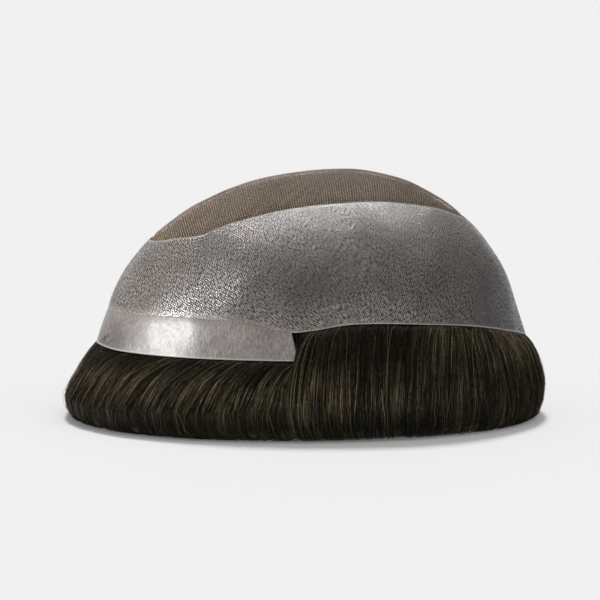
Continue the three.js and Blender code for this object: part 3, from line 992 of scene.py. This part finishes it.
def roll_strands(material):
    rng = np.random.default_rng(21)
    root_run, lock, offset, lock_depth, lean = strand_locks(rng)
    root_angle = angle_at(root_run)
    root_turn = np.degrees(from_front(root_angle))
    angle = angle_at(strand_runs(rng, root_run, root_turn, offset, lean))
    layer, depth = strand_depths(rng, lock_depth)
    reach = rng.uniform(0.45, 1.05, STRAND_COUNT)
    paths, away = roll_path(root_angle, angle, depth, reach)
    taper = np.interp(STRAND_SHARES, [0, 0.8, 1], [1, 0.9, 0.25])
    radius = column_of(rng.uniform(*HAIR_RADIUS, STRAND_COUNT)) * taper
    paths[..., 2] = np.maximum(paths[..., 2], FLOOR_CLEARANCE + radius)
    across = level_across(away)
    tone, copper = strand_colours(rng, lock, layer, root_turn, paths[..., 2])
    made = []
    for k in range(PIECES):
        chosen = slice(k * STRANDS_PER_PIECE, (k + 1) * STRANDS_PER_PIECE)
        ring, faces = tubes(paths[chosen], radius[chosen], across[chosen])
        corners = np.ones((1, 1, 3))
        floats = {
            "tone": tone[chosen][:, :, None] * corners,
            "copper": copper[chosen][:, :, None] * corners,
        }
        piece = mesh_object(f"hair_roll_strands_{k + 1}", ring, faces, floats=floats)
        piece.data.materials.append(material)
        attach(piece, "root")
        made.append(piece)
    return made


# Loose hairs: a few stand off the roll, and short ones lie on the strip, from and to an angle and a height.
LOOSE_COUNT = 110
LOOSE_RADIUS = 0.07
LOOSE_LEAN = 9.0
SHORT_HAIRS = [
    (188, 34.2, 193.5, 38.0),
    (190, 33.8, 193.0, 39.4),
    (192, 34.3, 189.5, 37.6),
    (193.5, 33.9, 196.5, 37.0),
]


def loose_hairs(material):
    rng = np.random.default_rng(8)
    t = STRAND_SHARES
    root = np.sort(rng.uniform(0, TURN, LOOSE_COUNT))
    lean = column_of(rng.normal(0, 0.05, LOOSE_COUNT)) * t
    lean = lean + column_of(rng.normal(0, 0.02, LOOSE_COUNT)) * np.sin(t * 5)
    backward = np.radians(LOOSE_LEAN) * column_of(smooth_step(88, 128, np.degrees(from_front(root))))
    turned = column_of(root) + lean + column_of(np.sign(math.pi - root)) * backward * smooth_step(0, 0.5, t)
    stand = column_of(rng.uniform(0, 0.25, LOOSE_COUNT)) * smooth_step(0.05, 0.35, t)
    off = column_of(rng.exponential(0.45, LOOSE_COUNT))
    stand = stand + off * np.exp(-(((t - column_of(rng.uniform(0.3, 0.95, LOOSE_COUNT))) / 0.16) ** 2))
    paths, away = roll_path(root, turned, -stand, rng.uniform(0.2, 1.0, LOOSE_COUNT))
    radius = LOOSE_RADIUS * np.interp(t, [0, 0.8, 1], [1, 0.9, 0.3]) + 0 * turned
    paths[..., 2] = np.maximum(paths[..., 2], FLOOR_CLEARANCE + radius)
    ring, faces = tubes(paths, radius, level_across(away))
    short = np.array(SHORT_HAIRS)
    u = np.linspace(0, 1, t.shape[1])
    angle = np.radians(short[:, :1] + (short[:, 2:3] - short[:, :1]) * u**1.6)
    z = short[:, 1:2] + (short[:, 3:] - short[:, 1:2]) * u
    laid = base_point(angle, z, -0.1)
    sideways = np.cross(unit(np.gradient(laid, axis=1)), [0, 0, 1.0])
    short_ring, short_faces = tubes(laid, np.full(angle.shape, LOOSE_RADIUS), sideways)
    points = np.concatenate([ring.reshape(-1, 3), short_ring.reshape(-1, 3)])
    faces = np.concatenate([faces, short_faces + ring.size // 3])
    tone = np.repeat(rng.uniform(0.1, 0.9, LOOSE_COUNT), ring[0].size // 3)
    tone = np.concatenate([tone, np.zeros(short_ring.size // 3)])
    piece = mesh_object("hair_roll_loose_hairs", points, faces, floats={"tone": tone, "copper": tone * 0.2})
    piece.data.materials.append(material)
    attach(piece, "root")
    return piece


# The camera, the floor and the light.
CAMERA_LENS = 166.3
CAMERA_AIM = (-2.2, 0.0, 50.0)
CAMERA_FROM = 1200.0
CAMERA_TURN = math.radians(-3)
CAMERA_RISE = math.radians(6.3)


def placed(name, data, at):
    made = bpy.data.objects.new(name, data)
    bpy.context.scene.collection.objects.link(made)
    made.location = at
    return made


def add_camera():
    data = bpy.data.cameras.new("photograph")
    data.sensor_width = 36
    data.lens = CAMERA_LENS
    data.clip_start = 0.01
    data.clip_end = 200
    away = (
        math.sin(CAMERA_TURN) * math.cos(CAMERA_RISE),
        -math.cos(CAMERA_TURN) * math.cos(CAMERA_RISE),
        math.sin(CAMERA_RISE),
    )
    place = [(aim + CAMERA_FROM * part) * 0.001 for aim, part in zip(CAMERA_AIM, away)]
    camera = placed("photograph", data, place)
    camera.rotation_euler = (math.pi / 2 - CAMERA_RISE, 0, CAMERA_TURN)
    bpy.context.scene.camera = camera


def add_sun(name, toward, strength, angle):
    data = bpy.data.lights.new(name, "SUN")
    data.energy = strength
    data.angle = math.radians(angle)
    lamp = placed(name, data, (0, 0, 1))
    x, y, z = toward
    lamp.rotation_euler = (math.atan2(math.hypot(x, y), z), 0, math.atan2(x, -y))
    return lamp


# The paper is what the camera sees behind the piece. The wall far behind it is brighter than the room.
PAPER = 0.871
FLOOR_GLOW = 0.122
FLOOR_PAINT = 0.8
ROOM_LIGHT = 0.24
WALL_LIGHT = 0.75
WALL_FROM = 0.82
WALL_TO = 0.99


def add_floor():
    bpy.ops.mesh.primitive_circle_add(vertices=96, radius=40, fill_type="NGON", location=(0, 0, 0))
    floor = bpy.context.object
    floor.name = "floor"
    material, tree, shader = new_material("pale_floor")
    tree.nodes.remove(shader)
    diffuse = node(tree, "ShaderNodeBsdfDiffuse", {"Color": (FLOOR_PAINT, FLOOR_PAINT, FLOOR_PAINT, 1)})
    glow = node(tree, "ShaderNodeEmission", {"Color": (1, 1, 1, 1), "Strength": FLOOR_GLOW})
    both = node(tree, "ShaderNodeAddShader", {0: diffuse.outputs[0], 1: glow.outputs[0]})
    tree.links.new(both.outputs[0], tree.nodes["Material Output"].inputs["Surface"])
    floor.data.materials.append(material)


def add_room():
    world = bpy.data.worlds.new("studio")
    bpy.context.scene.world = world
    world.use_nodes = True
    tree = world.node_tree
    light = tree.nodes["Background"]
    light.inputs["Color"].default_value = (1, 1, 1, 1)
    direction = node(tree, "ShaderNodeTexCoord").outputs["Generated"]
    backward = node(tree, "ShaderNodeSeparateXYZ", {0: direction}).outputs["Y"]
    strength = stepped(tree, backward, WALL_FROM, WALL_TO, ROOM_LIGHT, WALL_LIGHT)
    tree.links.new(strength, light.inputs["Strength"])
    paper = node(tree, "ShaderNodeBackground", {"Color": (1, 1, 1, 1), "Strength": PAPER})
    seen = node(tree, "ShaderNodeLightPath").outputs["Is Camera Ray"]
    both = node(tree, "ShaderNodeMixShader", {0: seen, 1: light.outputs[0], 2: paper.outputs[0]})
    tree.links.new(both.outputs[0], tree.nodes["World Output"].inputs["Surface"])


def link_light(lamp, pieces, state):
    """Lets a light reach only these pieces, or all but these."""
    chosen = bpy.data.collections.new(f"{lamp.name}_pieces")
    lamp.light_linking.receiver_collection = chosen
    for piece in pieces:
        chosen.objects.link(piece)
    for member in chosen.collection_objects:
        member.light_linking.link_state = state


# The lamps: the way towards each, its strength, and how many degrees wide it looks.
SUNS = {
    "left_softbox": ((-0.96, -0.2, 0.24), 1.6, 36),
    "left_softbox_centre": ((-0.93, -0.29, 0.24), 2.6, 8),
    "overhead_softbox": ((0.0, 0.4, 0.92), 1.9, 12),
    "front_softbox": ((0.25, -0.4, 0.88), 0.5, 70),
    "film_light": ((0.2, 0.42, 0.88), 1.15, 6),
    "hair_light": ((0.2, -0.3, 0.9), 1.5, 30),
}


def add_lights(film, net, hair):
    floor = bpy.data.objects["floor"]
    lamps = {name: add_sun(name, *values) for name, values in SUNS.items()}
    link_light(lamps["left_softbox"], [floor, *hair], "EXCLUDE")
    link_light(lamps["left_softbox_centre"], [floor, net, *hair], "EXCLUDE")
    link_light(lamps["film_light"], [film], "INCLUDE")
    link_light(lamps["hair_light"], hair, "INCLUDE")


bpy.context.scene.view_settings.view_transform = "Standard"
add_camera()
add_floor()
add_room()

strand_look = strand_material()
core_look = core_material()
skin = skin_film(skin_material())
strip = clear_strip(strip_material())
lace = lace_net(lace_material())
crown_core(core_look)
roll = [roll_core(core_look), *roll_strands(strand_look), loose_hairs(strand_look)]
add_lights(skin, lace, roll)
